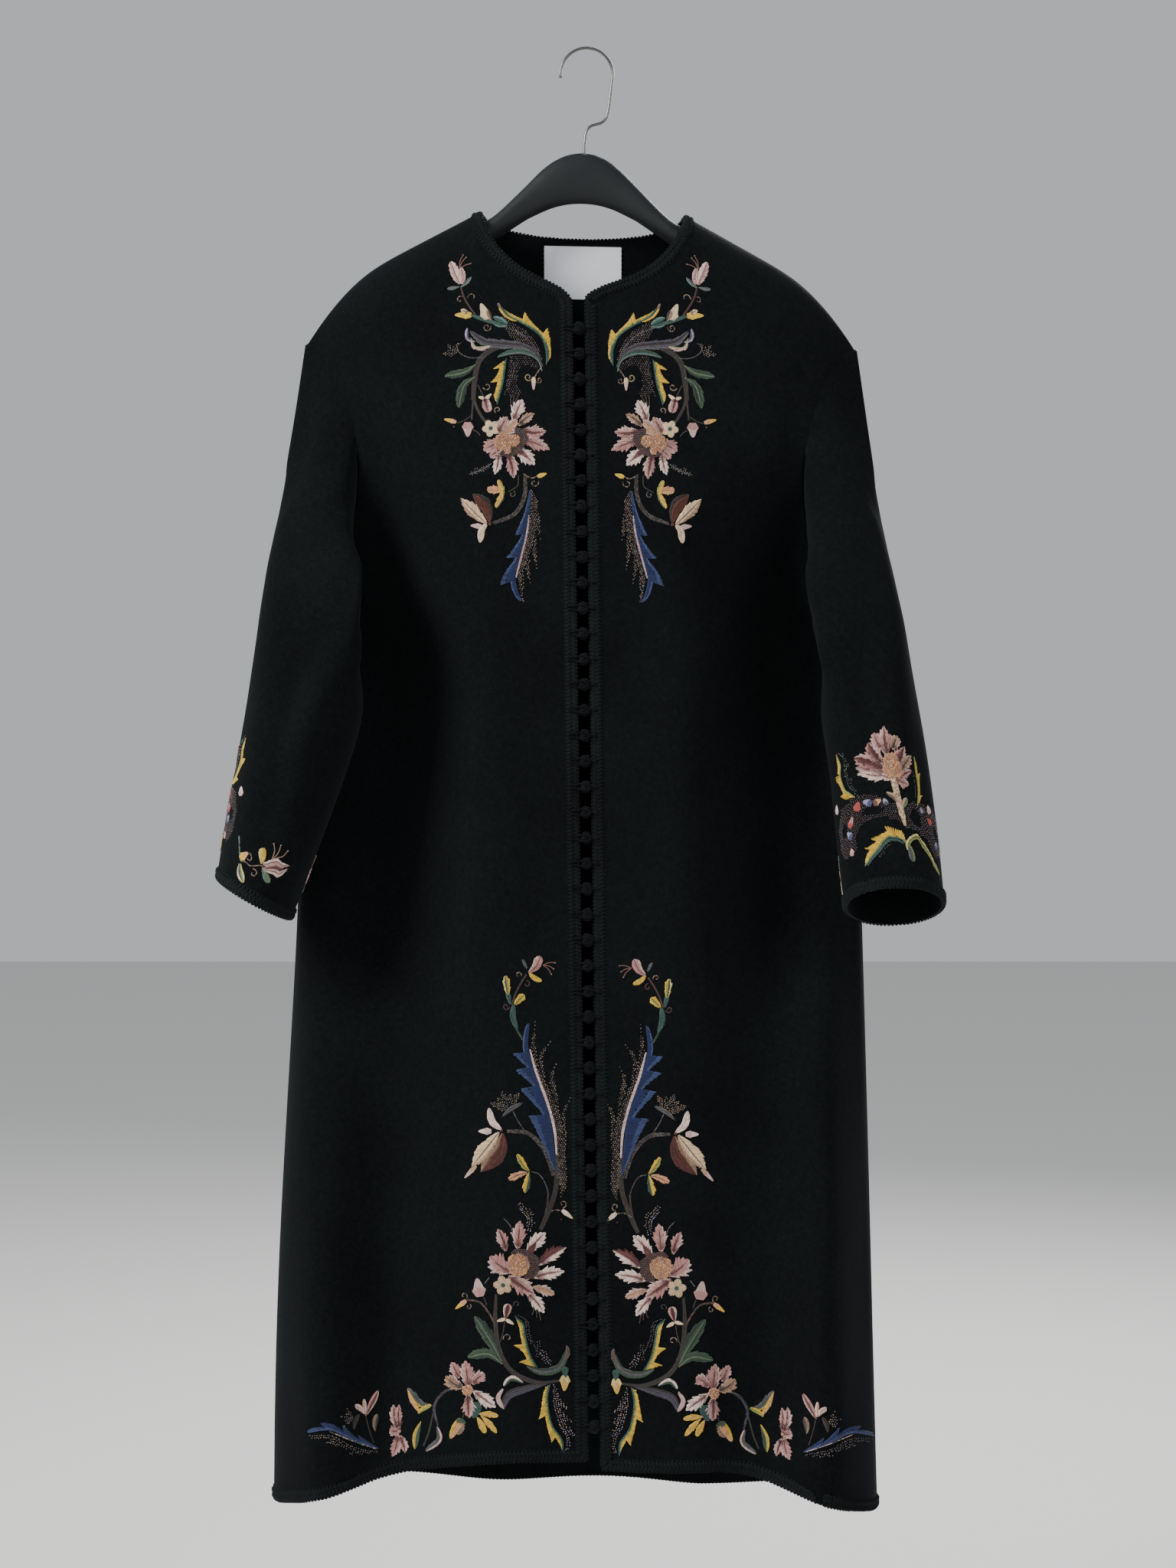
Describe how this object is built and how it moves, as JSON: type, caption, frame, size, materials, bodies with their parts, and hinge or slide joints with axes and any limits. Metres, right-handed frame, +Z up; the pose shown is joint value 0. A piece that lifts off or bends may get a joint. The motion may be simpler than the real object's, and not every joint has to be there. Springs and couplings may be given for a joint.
{
  "type": "embroidered long coat on a hanger",
  "caption": "Long collarless felted wool coat with flower embroidery, braid edges and a row of knot buttons, hung on a contoured hanger.",
  "frame": {"origin": "inner top of the hook's crook, where it rests on its rail", "axes": "+Z up, +X to the viewer's right as seen from the front, +Y away from the viewer, from the coat's front to its back"},
  "size_m": [0.6206, 0.1992, 1.2744],
  "materials": {
    "felted_wool": "felted black wool with a short nap",
    "wool_braid": "knitted black wool braid",
    "button_cord": "black twisted cord",
    "label_satin": "white satin weave",
    "hanger_plastic": "matt dark slate",
    "hook_steel": "bright bent wire"
  },
  "bodies": {
    "root": {"front_left": "felted_wool", "front_right": "felted_wool", "back": "felted_wool", "sleeve_left": "felted_wool", "sleeve_right": "felted_wool", "braid_front_left": "wool_braid", "braid_front_right": "wool_braid", "braid_back_neck": "wool_braid", "braid_back_hem": "wool_braid", "braid_cuff_left": "wool_braid", "braid_cuff_right": "wool_braid", "button_01": "button_cord", "button_02": "button_cord", "button_03": "button_cord", "button_04": "button_cord", "button_05": "button_cord", "button_06": "button_cord", "button_07": "button_cord", "button_08": "button_cord", "button_09": "button_cord", "button_10": "button_cord", "button_11": "button_cord", "button_12": "button_cord", "button_13": "button_cord", "button_14": "button_cord", "button_15": "button_cord", "button_16": "button_cord", "button_17": "button_cord", "button_18": "button_cord", "button_19": "button_cord", "button_20": "button_cord", "button_21": "button_cord", "button_22": "button_cord", "button_23": "button_cord", "button_24": "button_cord", "button_25": "button_cord", "button_26": "button_cord", "button_27": "button_cord", "button_28": "button_cord", "button_29": "button_cord", "button_30": "button_cord", "button_31": "button_cord", "button_32": "button_cord", "button_33": "button_cord", "button_34": "button_cord", "button_35": "button_cord", "button_36": "button_cord", "button_37": "button_cord", "button_38": "button_cord", "button_39": "button_cord", "button_40": "button_cord", "button_41": "button_cord", "button_42": "button_cord", "button_43": "button_cord", "button_44": "button_cord", "neck_label": "label_satin", "hanger_body": "hanger_plastic", "hanger_hook": "hook_steel"}
  },
  "joints": []
}
